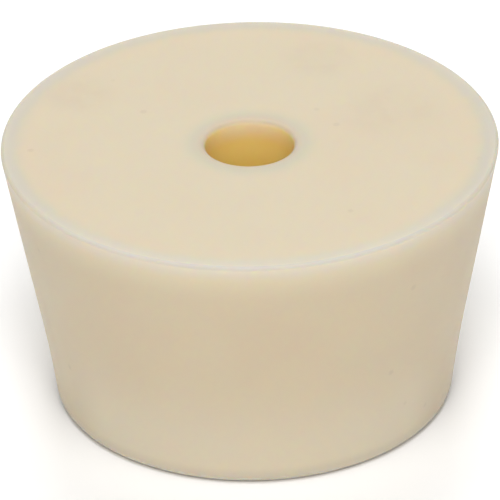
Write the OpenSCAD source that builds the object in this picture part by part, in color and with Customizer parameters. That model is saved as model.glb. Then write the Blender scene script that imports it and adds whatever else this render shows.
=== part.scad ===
// One-hole rubber stopper: a tapered plug, moulded in one piece, that stands on its small end.
// Units are millimetres, +Z is up, and the origin is the centre of the underside.

/* [Body] */
// Diameter of the large end, across the corner that the rim rounding takes off
top_d = 45; // [42:0.5:50]
// Diameter of the small end, across the corner that the heel rounding takes off
base_d = 35.8; // [32:0.2:40]
// Height from the underside to the top face
height = 25.2; // [22:0.2:32]
// Radius of the rounding around the top rim
rim_r = 0.3; // [0.2:0.1:2]
// Radius of the rounding around the foot
heel_r = 1.2; // [0.4:0.1:2]

/* [Foot flare] */
// Height above the underside at which the wall starts to leave the straight cone
flare_h = 8.8; // [7:0.2:14]
// How far the foot stands outside the straight cone
flare_out = 0.3; // [0.1:0.1:0.8]

/* [Bore] */
// Diameter of the hole that takes a glass tube or a thermometer
bore_d = 8; // [4:0.5:12]
// Radius of the rounding at both mouths of the hole
lip_r = 0.5; // [0.2:0.1:1]

/* [Hidden] */
rounding_fn = 96;
flare_fn = 256;
turn_fn = 180;
// Curves that run into each other overlap by this much, so that they cross at one clean point.
overlap = 0.001;
// The foot corner is drawn this far outside the flare, which then cuts it to shape.
foot_spare = 1;

top_r = top_d / 2;
base_r = base_d / 2;
bore_r = bore_d / 2;

// Straight cone: it runs from the rim corner towards a point flare_out inside the foot corner.
taper = atan((top_r - base_r + flare_out) / height);
cone_out = [cos(taper), -sin(taper)];
cone_down = [-sin(taper), -cos(taper)];
rim_corner = [top_r, height];
foot_corner = [base_r, 0];

// Rim rounding: it meets the top face and the cone.
rim_setback = rim_r * (1 + sin(taper)) / cos(taper);
rim_centre = [top_r - rim_setback + overlap, height - rim_r];
rim_end = rim_corner + cone_down * rim_setback;

// Foot flare: a hollow arc that leaves the cone at flare_start and runs to the foot corner.
flare_start = rim_corner + cone_down * (height - flare_h) / cos(taper);
flare_run = (foot_corner - flare_start) * cone_down;
flare_rise = (foot_corner - flare_start) * cone_out;
flare_r = (flare_run * flare_run + flare_rise * flare_rise) / (2 * flare_rise);
flare_centre = flare_start + cone_out * flare_r;

// Heel rounding: it meets the underside and the flare.
heel_drop = flare_centre[1] - heel_r;
heel_reach = sqrt((flare_r + heel_r) * (flare_r + heel_r) - heel_drop * heel_drop);
heel_centre = [flare_centre[0] - heel_reach + overlap, heel_r];
heel_out = (flare_centre - heel_centre) / norm(flare_centre - heel_centre);

module stopper() {
  color("#E8DABC")
    rotate_extrude($fn = turn_fn)
      half_section();
}

// Half of the section through the axis, from the wall of the bore to the outer wall.
module half_section() {
  difference() {
    straight_section();
    translate(flare_centre) circle(r = flare_r + overlap, $fn = flare_fn);
  }
  rounding(rim_centre, rim_r);
  rounding(heel_centre, heel_r);
  rounding([bore_r + lip_r, height - lip_r], lip_r);
  rounding([bore_r + lip_r, lip_r], lip_r);
}

// The section in straight lines: its roundings are left out, and the foot is still too wide.
module straight_section() {
  polygon([
    [bore_r, lip_r],
    [bore_r + lip_r, 0],
    [heel_centre[0], 0],
    heel_centre,
    heel_centre + heel_out * (heel_r + foot_spare),
    flare_start,
    rim_end,
    [rim_centre[0], height],
    [bore_r + lip_r, height],
    [bore_r, height - lip_r]
  ]);
}

module rounding(centre, r) {
  translate(centre) circle(r = r, $fn = rounding_fn);
}

stopper();
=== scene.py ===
"""A one-hole rubber stopper on a pale floor in soft studio light.

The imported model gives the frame: metres, +Z up, origin at the centre of the underside.
"""

import math

import bpy
from mathutils import Matrix, Vector, noise


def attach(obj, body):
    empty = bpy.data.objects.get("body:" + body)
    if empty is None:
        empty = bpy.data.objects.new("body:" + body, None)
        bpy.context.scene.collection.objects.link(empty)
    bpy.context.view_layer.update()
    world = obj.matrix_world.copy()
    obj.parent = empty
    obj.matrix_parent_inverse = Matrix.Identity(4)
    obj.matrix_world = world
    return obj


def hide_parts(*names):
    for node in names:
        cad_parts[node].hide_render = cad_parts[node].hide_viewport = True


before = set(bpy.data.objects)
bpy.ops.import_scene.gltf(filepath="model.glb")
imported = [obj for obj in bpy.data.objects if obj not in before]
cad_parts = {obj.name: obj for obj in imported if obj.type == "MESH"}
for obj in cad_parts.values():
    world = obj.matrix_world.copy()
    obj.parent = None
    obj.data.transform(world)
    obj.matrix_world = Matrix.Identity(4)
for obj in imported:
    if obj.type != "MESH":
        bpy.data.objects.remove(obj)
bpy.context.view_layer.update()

# ---------------------------------------------------------------- form

# The same driving dimensions as the construction, in metres.
TOP_RADIUS = 0.0225
BASE_RADIUS = 0.0179
HEIGHT = 0.0252
RIM_ROUND = 0.0003
HEEL_ROUND = 0.0012
FLARE_HEIGHT = 0.0088
FLARE_OUT = 0.0003
BORE_RADIUS = 0.0040
LIP_ROUND = 0.0005

# How finely the skin is meshed.
TURN_STEPS = 420
ARC_STEPS = 10
HEEL_STEPS = 20
FLARE_STEPS = 22
FACE_STEPS = 26
WALL_STEPS = 44
BORE_STEPS = 36
# A ring this far from each rounding keeps the flat next to it flat.
SUPPORT = 0.00006

# The moulding isn't perfectly true: shallow hollows, never proud of the nominal surface.
HOLLOW_DEPTH = 0.00004
HOLLOW_SIZE = 0.009
HOLLOW_SEED = 11.7
# Only points higher than this are sunk, so the underside stays flat.
UNDERSIDE_TOP = SUPPORT / 4


def arc(centre, radius, start, end, steps):
    """Points (radius from the axis, height) along an arc, with angles in radians from the horizontal."""
    angles = [start + (end - start) * i / steps for i in range(steps + 1)]
    return [(centre[0] + radius * math.cos(a), centre[1] + radius * math.sin(a)) for a in angles]


def between(a, b, steps):
    """Points from just after a to just before b, with a supporting ring close to each end."""
    length = math.dist(a, b)
    shares = [SUPPORT / length] + [i / steps for i in range(1, steps)] + [1 - SUPPORT / length]
    return [(a[0] + (b[0] - a[0]) * s, a[1] + (b[1] - a[1]) * s) for s in shares]


def section():
    """The closed half section, as (radius, height) points: top lip, top face, wall, underside, bore."""
    taper = math.atan((TOP_RADIUS - BASE_RADIUS + FLARE_OUT) / HEIGHT)
    out = Vector((math.cos(taper), -math.sin(taper)))
    down = Vector((-math.sin(taper), -math.cos(taper)))
    corner = Vector((TOP_RADIUS, HEIGHT))
    setback = RIM_ROUND * (1 + math.sin(taper)) / math.cos(taper)
    rim = (TOP_RADIUS - setback, HEIGHT - RIM_ROUND)

    # The flare is a hollow arc from the straight cone to the foot's corner.
    flare_start = corner + down * ((HEIGHT - FLARE_HEIGHT) / math.cos(taper))
    to_foot = Vector((BASE_RADIUS, 0)) - flare_start
    run, rise = to_foot.dot(down), to_foot.dot(out)
    flare_radius = (run ** 2 + rise ** 2) / (2 * rise)
    flare = flare_start + out * flare_radius

    # The heel's arc touches the flare's arc and the underside.
    reach = math.sqrt((flare_radius + HEEL_ROUND) ** 2 - (flare.y - HEEL_ROUND) ** 2)
    heel = Vector((flare.x - reach, HEEL_ROUND))
    heel_up = math.atan2(flare.y - heel.y, flare.x - heel.x)
    flare_low = math.pi + heel_up
    flare_high = math.pi - taper

    quarter = math.pi / 2
    lip = BORE_RADIUS + LIP_ROUND
    top_lip = arc((lip, HEIGHT - LIP_ROUND), LIP_ROUND, math.pi, quarter, ARC_STEPS)
    rim_arc = arc(rim, RIM_ROUND, quarter, -taper, ARC_STEPS)
    flare_arc = arc(flare, flare_radius, flare_high, flare_low, FLARE_STEPS)
    heel_arc = arc(heel, HEEL_ROUND, heel_up, -quarter, HEEL_STEPS)[1:]
    low_lip = arc((lip, LIP_ROUND), LIP_ROUND, -quarter, -math.pi, ARC_STEPS)

    points = top_lip + between(top_lip[-1], rim_arc[0], FACE_STEPS)
    points += rim_arc + between(rim_arc[-1], flare_arc[0], WALL_STEPS)
    points += flare_arc + heel_arc + between(heel_arc[-1], low_lip[0], FACE_STEPS)
    return points + low_lip + between(low_lip[-1], top_lip[0], BORE_STEPS)


def hollow(point, normal):
    """The point sunk below the nominal surface by a smooth, shallow amount."""
    here = point / HOLLOW_SIZE + Vector((HOLLOW_SEED, 0, 0))
    depth = HOLLOW_DEPTH * (0.5 + 0.5 * noise.noise(here))
    return point - normal * depth


def stopper_mesh():
    """The whole skin as one closed mesh of rings, the section turned about the axis."""
    points = section()
    count = len(points)
    verts, faces = [], []
    for turn in range(TURN_STEPS):
        angle = 2 * math.pi * turn / TURN_STEPS
        across = Vector((math.cos(angle), math.sin(angle), 0))
        for i, (r, z) in enumerate(points):
            before, after = points[i - 1], points[(i + 1) % count]
            slope = Vector((after[0] - before[0], after[1] - before[1])).normalized()
            normal = across * -slope.y + Vector((0, 0, slope.x))
            point = across * r + Vector((0, 0, z))
            verts.append(point if z < UNDERSIDE_TOP else hollow(point, normal))
    for turn in range(TURN_STEPS):
        here, there = turn * count, (turn + 1) % TURN_STEPS * count
        for i in range(count):
            j = (i + 1) % count
            faces.append((here + i, here + j, there + j, there + i))
    mesh = bpy.data.meshes.new("stopper_body")
    mesh.from_pydata(verts, [], faces)
    mesh.shade_smooth()
    mesh.update()
    return mesh


# ---------------------------------------------------------------- shader nodes

class Nodes:
    """Short ways to add and join shader nodes in one material."""

    def __init__(self, material):
        self.tree = material.node_tree

    def add(self, kind, **settings):
        node = self.tree.nodes.new(kind)
        for name, value in settings.items():
            setattr(node, name, value)
        return node

    def join(self, source, target):
        self.tree.links.new(source, target)

    def feed(self, value, target):
        """Joins a socket to the target, or sets the target to a plain value."""
        if isinstance(value, bpy.types.NodeSocket):
            self.join(value, target)
        else:
            target.default_value = value

    def math(self, operation, first, second=0.0):
        node = self.add("ShaderNodeMath", operation=operation)
        self.feed(first, node.inputs[0])
        self.feed(second, node.inputs[1])
        return node.outputs[0]

    def times(self, first, second):
        return self.math("MULTIPLY", first, second)

    def minus(self, first, second):
        return self.math("SUBTRACT", first, second)

    def length(self, first, second):
        """The long side of a right triangle with these two short sides."""
        return self.math("SQRT", self.math("ADD", self.times(first, first), self.times(second, second)))

    def fade(self, value, zone, low=0.0, high=1.0):
        """low where value is before the zone, high where it is past it, and smooth in between."""
        node = self.add("ShaderNodeMapRange", interpolation_type="SMOOTHERSTEP")
        self.feed(value, node.inputs["Value"])
        node.inputs["From Min"].default_value = zone[0]
        node.inputs["From Max"].default_value = zone[1]
        node.inputs["To Min"].default_value = low
        node.inputs["To Max"].default_value = high
        return node.outputs["Result"]

    def fall(self, value, zone):
        """1 where value is before the zone, 0 where it is past it, and smooth in between."""
        return self.fade(value, zone, 1.0, 0.0)

    def mix(self, share, first, second):
        """The first colour where the share is 0, the second where it is 1."""
        node = self.add("ShaderNodeMix", data_type="RGBA")
        self.feed(share, node.inputs["Factor"])
        colours = [s for s in node.inputs if s.type == "RGBA"]
        self.feed(first, colours[0])
        self.feed(second, colours[1])
        return next(s for s in node.outputs if s.type == "RGBA")

    def clouds(self, place, scale, detail=2.0, roughness=0.5):
        node = self.add("ShaderNodeTexNoise")
        self.join(place, node.inputs["Vector"])
        node.inputs["Scale"].default_value = scale
        node.inputs["Detail"].default_value = detail
        node.inputs["Roughness"].default_value = roughness
        return node.outputs["Fac"]


class Where:
    """Where a point of the stopper is: distances in metres and shares from 0 to 1, all made of nodes.

    They come from the object's own coordinates, so they stay on the surface in every view.
    """

    def __init__(self, n):
        self.place = n.add("ShaderNodeTexCoord").outputs["Object"]
        split = n.add("ShaderNodeSeparateXYZ")
        n.join(self.place, split.inputs[0])
        x, y, self.height = split.outputs
        radius = n.length(x, y)
        self.aside = n.math("ABSOLUTE", x)
        self.from_rim = n.minus(TOP_RADIUS, radius)
        self.from_bore = n.minus(radius, BORE_RADIUS)
        self.below = n.minus(HEIGHT, self.height)
        self.end = n.math("MINIMUM", self.below, self.height)
        # Shares: how much a point belongs to an end face, and how much it lies behind the front.
        self.flat = n.fall(self.end, FLAT_ZONE)
        self.behind = n.fade(y, FRONT_ZONE)


# ---------------------------------------------------------------- rubber

# Each zone is where one colour fades into the next: from, to, in metres.

# Distance to the nearer end face, up to which a point belongs to that face.
FLAT_ZONE = (0.0001, 0.0005)
# Place along Y: the painted light at the rim and on the end faces is brightest at the front.
FRONT_ZONE = (-0.020, -0.006)

# The large face: cream with rosy clouds.
CREAM = (0.692, 0.606, 0.449, 1)
ROSY = (0.692, 0.593, 0.440, 1)
CLOUD_SCALE = 95
CLOUD_RANGE = (0.42, 0.75)

# Faint patches in the large face: where each one is and how far it reaches. Each is at its full
# strength in a core, which is a share of its reach, and a fine mottle weakens it in places.
BLUSH = (0.670, 0.577, 0.429, 1)
PATCHES = (
    ((-0.0155, 0.0095, HEIGHT), 0.0050),
    ((0.0130, 0.0052, HEIGHT), 0.0068),
    ((0.0065, 0.0150, HEIGHT), 0.0045),
)
PATCH_CORE = 0.2
MOTTLE_SCALE = 380
MOTTLE_RANGE = (0.35, 0.65)
MOTTLE_LEAST = 0.45

# The wall, by depth under the large face, with a painted glow just under the rim: light from the top
# face soaking through to the side.
WALL = (0.689, 0.588, 0.420, 1)
ROSY_WALL = (0.680, 0.570, 0.408, 1)
WALL_ZONE = (0.0002, 0.0012)
PAINTED_RIM_GLOW = (0.725, 0.666, 0.482, 1)
PAINTED_RIM_GLOW_START = (0.0001, 0.0005)
PAINTED_RIM_GLOW_END = (0.0004, 0.0048)

# Painted light at the foot, by height over the underside: paler than the wall, as the floor lights it,
# but hardly at its two sides. Painted shade darkens the heel where it meets the floor.
PAINTED_FOOT_LIGHT = (0.742, 0.657, 0.503, 1)
PAINTED_FOOT_LIGHT_ZONE = (0.0005, 0.0145)
PAINTED_FOOT_LIGHT_SIDE_ZONE = (0.0130, 0.0172)
PAINTED_FOOT_LIGHT_SIDE_SHARE = 0.1
PAINTED_HEEL_SHADE = (0.636, 0.558, 0.445, 1)
PAINTED_HEEL_SHADE_ZONE = (0.0004, 0.0022)

# Fine specks: one in each of the few cells with a high random value. The edge is in cell widths.
SPECK = (0.60, 0.51, 0.38, 1)
SPECK_SHARE = 0.5
SPECK_CELLS = 330
SPECK_EDGE = (0.05, 0.15)
SPECK_PICK = (0.62, 0.70)

# Painted shade on the end faces, by distance from the rim or the bore, whichever is nearer: less red
# near the edges, where red light soaks out, and darker behind. A ring of painted shade lies around the
# bore.
PAINTED_EDGE_SHADE = (0.640, 0.608, 0.465, 1)
PAINTED_EDGE_SHADE_BEHIND = (0.608, 0.585, 0.447, 1)
PAINTED_EDGE_SHADE_ZONE = (0.0003, 0.0030)
PAINTED_BORE_SHADE = (0.622, 0.552, 0.436, 1)
PAINTED_BORE_SHADE_ZONE = (0.0005, 0.0018)

# Painted sheen and glow at the rim: the pale band on both sides of the rim, by distance from the corner,
# and the greyer rounding in it; both are darker behind.
PAINTED_RIM_SHEEN_FACE = (0.630, 0.598, 0.508, 1)
PAINTED_RIM_SHEEN_FACE_BEHIND = (0.590, 0.560, 0.487, 1)
PAINTED_RIM_SHEEN_WALL = (0.692, 0.652, 0.562, 1)
PAINTED_RIM_SHEEN_TURN = (0.0001, 0.0003)
PAINTED_RIM_SHEEN_ZONE = (0.0002, 0.0018)
RAGGED_SCALE = 420
RAGGED_REACH = 0.0006
PAINTED_ROUNDING_SHEEN = (0.553, 0.530, 0.502, 1)
PAINTED_ROUNDING_SHEEN_BEHIND = (0.553, 0.514, 0.438, 1)
PAINTED_ROUNDING_SHEEN_WIDTH = 1.2 * RIM_ROUND
PAINTED_ROUNDING_SHEEN_FACE_EDGE = (-0.00008, 0.00008)
PAINTED_ROUNDING_SHEEN_WALL_EDGE = (-0.00022, 0.00015)

# The lips carry painted shade, and the bore's amber with depth is painted light: light goes from rubber
# to rubber in it. The mouth is painted lighter at its two sides.
PAINTED_LIP_SHADE = (0.620, 0.525, 0.405, 1)
PAINTED_LIP_SHADE_ZONE = (0.0004, 0.0009)
SHALLOW = (0.90, 0.785, 0.59, 1)
PAINTED_LIGHT_SIDE_MOUTH = (0.95, 0.790, 0.44, 1)
PAINTED_LIGHT_SIDE_MOUTH_ZONE = (0.0012, 0.0040)
AMBER = (0.92, 0.748, 0.26, 1)
AMBER_ZONE = (0.0004, 0.0026)
DEEP = (0.84, 0.625, 0.18, 1)
DEEP_ZONE = (0.0022, 0.0055)
INSIDE_ZONE = (-0.00015, 0.00065)

# How far light of each colour soaks in, and how the skin shines.
LIGHT_PATH = (1.0, 0.62, 0.28)
LIGHT_PATH_SCALE = 0.0035
RUBBER_IOR = 1.5
SHEEN = 0.2
WORN_SCALE = 260
WORN_RANGE = (0.3, 0.7)
SMOOTHEST = 0.50
ROUGHEST = 0.60
GRAIN_SCALE = 5200
GRAIN_STRENGTH = 0.12
GRAIN_DEPTH = 0.00002


def with_patches(n, at, colour):
    """The colour with the faint patches over it."""
    mottle = n.fade(n.clouds(at.place, MOTTLE_SCALE), MOTTLE_RANGE, low=MOTTLE_LEAST)
    for centre, reach in PATCHES:
        away = n.add("ShaderNodeVectorMath", operation="DISTANCE")
        n.join(at.place, away.inputs[0])
        away.inputs[1].default_value = centre
        patch = n.fall(away.outputs["Value"], (PATCH_CORE * reach, reach))
        colour = n.mix(n.times(patch, mottle), colour, BLUSH)
    return colour


def with_wall_and_painted_light(n, at, rosy, colour):
    """The colour with the wall's zones over it, from under the rim down to the heel: painted glow under
    the rim, painted light at the foot and painted shade at the heel.
    """
    colour = n.mix(n.fade(at.below, WALL_ZONE), colour, n.mix(rosy, WALL, ROSY_WALL))
    # Painted glow just under the rim.
    painted_rim_glow = n.times(n.fade(at.below, PAINTED_RIM_GLOW_START), n.fall(at.below, PAINTED_RIM_GLOW_END))
    colour = n.mix(painted_rim_glow, colour, PAINTED_RIM_GLOW)
    # Painted light at the foot.
    painted_foot_light = n.times(n.fall(at.height, PAINTED_FOOT_LIGHT_ZONE), n.fade(at.aside, PAINTED_FOOT_LIGHT_SIDE_ZONE, 1.0, PAINTED_FOOT_LIGHT_SIDE_SHARE))
    colour = n.mix(painted_foot_light, colour, PAINTED_FOOT_LIGHT)
    # Painted shade at the heel.
    return n.mix(n.fall(at.height, PAINTED_HEEL_SHADE_ZONE), colour, PAINTED_HEEL_SHADE)


def with_specks(n, at, colour):
    """The colour with fine specks over it."""
    cells = n.add("ShaderNodeTexVoronoi")
    n.join(at.place, cells.inputs["Vector"])
    cells.inputs["Scale"].default_value = SPECK_CELLS
    dot = n.fall(cells.outputs["Distance"], SPECK_EDGE)
    pick = n.fade(cells.outputs["Color"], SPECK_PICK)
    return n.mix(n.times(n.times(dot, pick), SPECK_SHARE), colour, SPECK)


def with_painted_face_shade(n, at, colour):
    """The colour with painted shade on the end faces near the rim and around the bore over it."""
    nearest = n.math("MINIMUM", at.from_rim, at.from_bore)
    # Painted shade near the edges, darker behind.
    painted_edge_shade = n.mix(at.behind, PAINTED_EDGE_SHADE, PAINTED_EDGE_SHADE_BEHIND)
    colour = n.mix(n.times(n.fall(nearest, PAINTED_EDGE_SHADE_ZONE), at.flat), colour, painted_edge_shade)
    # A ring of painted shade around the bore.
    return n.mix(n.times(n.fall(at.from_bore, PAINTED_BORE_SHADE_ZONE), at.flat), colour, PAINTED_BORE_SHADE)


def with_painted_rim_sheen(n, at, colour):
    """The colour with the painted sheen and glow of the pale, ragged band along the rim over it."""
    from_corner = n.length(at.from_rim, at.below)
    ragged = n.times(n.clouds(at.place, RAGGED_SCALE), RAGGED_REACH)
    # Painted sheen and glow along the rim, darker behind.
    painted_sheen_face = n.mix(at.behind, PAINTED_RIM_SHEEN_FACE, PAINTED_RIM_SHEEN_FACE_BEHIND)
    painted_sheen = n.mix(n.fade(at.below, PAINTED_RIM_SHEEN_TURN), painted_sheen_face, PAINTED_RIM_SHEEN_WALL)
    colour = n.mix(n.fall(n.minus(from_corner, ragged), PAINTED_RIM_SHEEN_ZONE), colour, painted_sheen)

    # Painted sheen on the rounding, darker behind.
    past_face = n.fade(n.minus(PAINTED_ROUNDING_SHEEN_WIDTH, at.from_rim), PAINTED_ROUNDING_SHEEN_FACE_EDGE)
    past_wall = n.fade(n.minus(RIM_ROUND, at.below), PAINTED_ROUNDING_SHEEN_WALL_EDGE)
    return n.mix(n.times(past_face, past_wall), colour, n.mix(at.behind, PAINTED_ROUNDING_SHEEN, PAINTED_ROUNDING_SHEEN_BEHIND))


def with_bore(n, at, colour):
    """The colour with the painted shade of the lips and the painted light of the bore's amber depth over
    it.
    """
    by_bore = n.fall(at.from_bore, PAINTED_LIP_SHADE_ZONE)
    # Painted shade on the lips.
    colour = n.mix(by_bore, colour, PAINTED_LIP_SHADE)
    # Painted light: the mouth is lighter at its two sides.
    painted_mouth_light = n.mix(n.fade(at.aside, PAINTED_LIGHT_SIDE_MOUTH_ZONE), SHALLOW, PAINTED_LIGHT_SIDE_MOUTH)
    bore = n.mix(n.fade(at.end, AMBER_ZONE), painted_mouth_light, AMBER)
    bore = n.mix(n.fade(at.end, DEEP_ZONE), bore, DEEP)
    inside = n.fade(n.minus(at.end, at.from_bore), INSIDE_ZONE)
    return n.mix(n.times(inside, by_bore), colour, bore)


def rubber():
    """Cream rubber that light soaks into, with worn gloss and a fine grain."""
    material = bpy.data.materials.new("cream_rubber")
    material.use_nodes = True
    n = Nodes(material)
    at = Where(n)
    shader = n.tree.nodes["Principled BSDF"]

    rosy = n.fade(n.clouds(at.place, CLOUD_SCALE, detail=1), CLOUD_RANGE)
    colour = with_patches(n, at, n.mix(rosy, CREAM, ROSY))
    colour = with_wall_and_painted_light(n, at, rosy, colour)
    colour = with_specks(n, at, colour)
    colour = with_painted_face_shade(n, at, colour)
    colour = with_painted_rim_sheen(n, at, colour)
    colour = with_bore(n, at, colour)
    n.join(colour, shader.inputs["Base Color"])

    shader.inputs["Subsurface Weight"].default_value = 1.0
    shader.inputs["Subsurface Radius"].default_value = LIGHT_PATH
    shader.inputs["Subsurface Scale"].default_value = LIGHT_PATH_SCALE
    shader.inputs["IOR"].default_value = RUBBER_IOR
    shader.inputs["Specular IOR Level"].default_value = SHEEN

    worn = n.clouds(at.place, WORN_SCALE, detail=4, roughness=0.6)
    n.join(n.fade(worn, WORN_RANGE, SMOOTHEST, ROUGHEST), shader.inputs["Roughness"])

    grain = n.clouds(at.place, GRAIN_SCALE, detail=2)
    bump = n.add("ShaderNodeBump")
    bump.inputs["Strength"].default_value = GRAIN_STRENGTH
    bump.inputs["Distance"].default_value = GRAIN_DEPTH
    n.join(grain, bump.inputs["Height"])
    n.join(bump.outputs["Normal"], shader.inputs["Normal"])
    return material


def make_stopper():
    body = bpy.data.objects.new("stopper_body", stopper_mesh())
    bpy.context.scene.collection.objects.link(body)
    body.data.materials.append(rubber())
    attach(body, "root")
    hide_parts("stopper")


# ---------------------------------------------------------------- studio

# The floor lies a hair under the stopper's underside, and glows faintly to keep the shadow pale.
FLOOR_SIZE = 6.0
FLOOR_GAP = 0.00002
FLOOR_COLOUR = (0.96, 0.96, 0.96, 1)
FLOOR_ROUGHNESS = 0.9
FLOOR_GLOW = 0.09
WHITE = (1, 1, 1, 1)
SKY_STRENGTH = 0.10

# Two long soft lamps, one in front of the stopper and a weaker one behind it; powers in watts.
LAMP_WIDTH = 0.60
LAMP_LENGTH = 1.25
FRONT_LAMP_PLACE = Vector((0, -0.80, 1.385))
FRONT_LAMP_POWER = 21.5
BACK_LAMP_PLACE = Vector((0, 0.80, 1.385))
BACK_LAMP_POWER = 10.3

# A long lens, in millimetres, that looks from the front and above at a point near the middle.
VIEW_ELEVATION = math.radians(30.215)
VIEW_DISTANCE = 1.1306
VIEW_ROLL = math.radians(-1.21)
VIEW_AIM = Vector((-0.00017, 0, 0.01397))
VIEW_LENS = 899.8


def make_floor():
    half = FLOOR_SIZE / 2
    square = ((-half, -half), (half, -half), (half, half), (-half, half))
    mesh = bpy.data.meshes.new("floor")
    mesh.from_pydata([(x, y, -FLOOR_GAP) for x, y in square], [], [(0, 1, 2, 3)])
    floor = bpy.data.objects.new("floor", mesh)
    bpy.context.scene.collection.objects.link(floor)
    material = bpy.data.materials.new("pale_floor")
    material.use_nodes = True
    shader = material.node_tree.nodes["Principled BSDF"]
    shader.inputs["Base Color"].default_value = FLOOR_COLOUR
    shader.inputs["Roughness"].default_value = FLOOR_ROUGHNESS
    shader.inputs["Specular IOR Level"].default_value = 0.0
    shader.inputs["Emission Color"].default_value = WHITE
    shader.inputs["Emission Strength"].default_value = FLOOR_GLOW
    mesh.materials.append(material)


def make_lamp(name, place, power):
    """A long, soft lamp that faces the origin."""
    lamp = bpy.data.lights.new(name, "AREA")
    lamp.shape = "RECTANGLE"
    lamp.size = LAMP_WIDTH
    lamp.size_y = LAMP_LENGTH
    lamp.energy = power
    softbox = bpy.data.objects.new(name, lamp)
    softbox.location = place
    softbox.rotation_euler = (-place).to_track_quat("-Z", "Y").to_euler()
    bpy.context.scene.collection.objects.link(softbox)


def make_light():
    world = bpy.data.worlds.new("soft_sky")
    world.use_nodes = True
    background = world.node_tree.nodes["Background"]
    background.inputs["Color"].default_value = WHITE
    background.inputs["Strength"].default_value = SKY_STRENGTH
    bpy.context.scene.world = world

    make_lamp("front_lamp", FRONT_LAMP_PLACE, FRONT_LAMP_POWER)
    make_lamp("back_lamp", BACK_LAMP_PLACE, BACK_LAMP_POWER)


def make_camera():
    """Tipped down at the stopper and turned a little about its own axis."""
    back = Vector((0, -math.cos(VIEW_ELEVATION), math.sin(VIEW_ELEVATION)))
    data = bpy.data.cameras.new("view")
    data.lens = VIEW_LENS
    data.clip_start = VIEW_DISTANCE / 10
    data.clip_end = VIEW_DISTANCE * 10
    camera = bpy.data.objects.new("view", data)
    turn = (-back).to_track_quat("-Z", "Y").to_matrix().to_4x4()
    roll = Matrix.Rotation(VIEW_ROLL, 4, "Z")
    camera.matrix_world = Matrix.Translation(VIEW_AIM + back * VIEW_DISTANCE) @ turn @ roll
    bpy.context.scene.collection.objects.link(camera)
    bpy.context.scene.camera = camera


make_camera()
make_light()
make_floor()
make_stopper()
bpy.context.scene.view_settings.view_transform = "Standard"
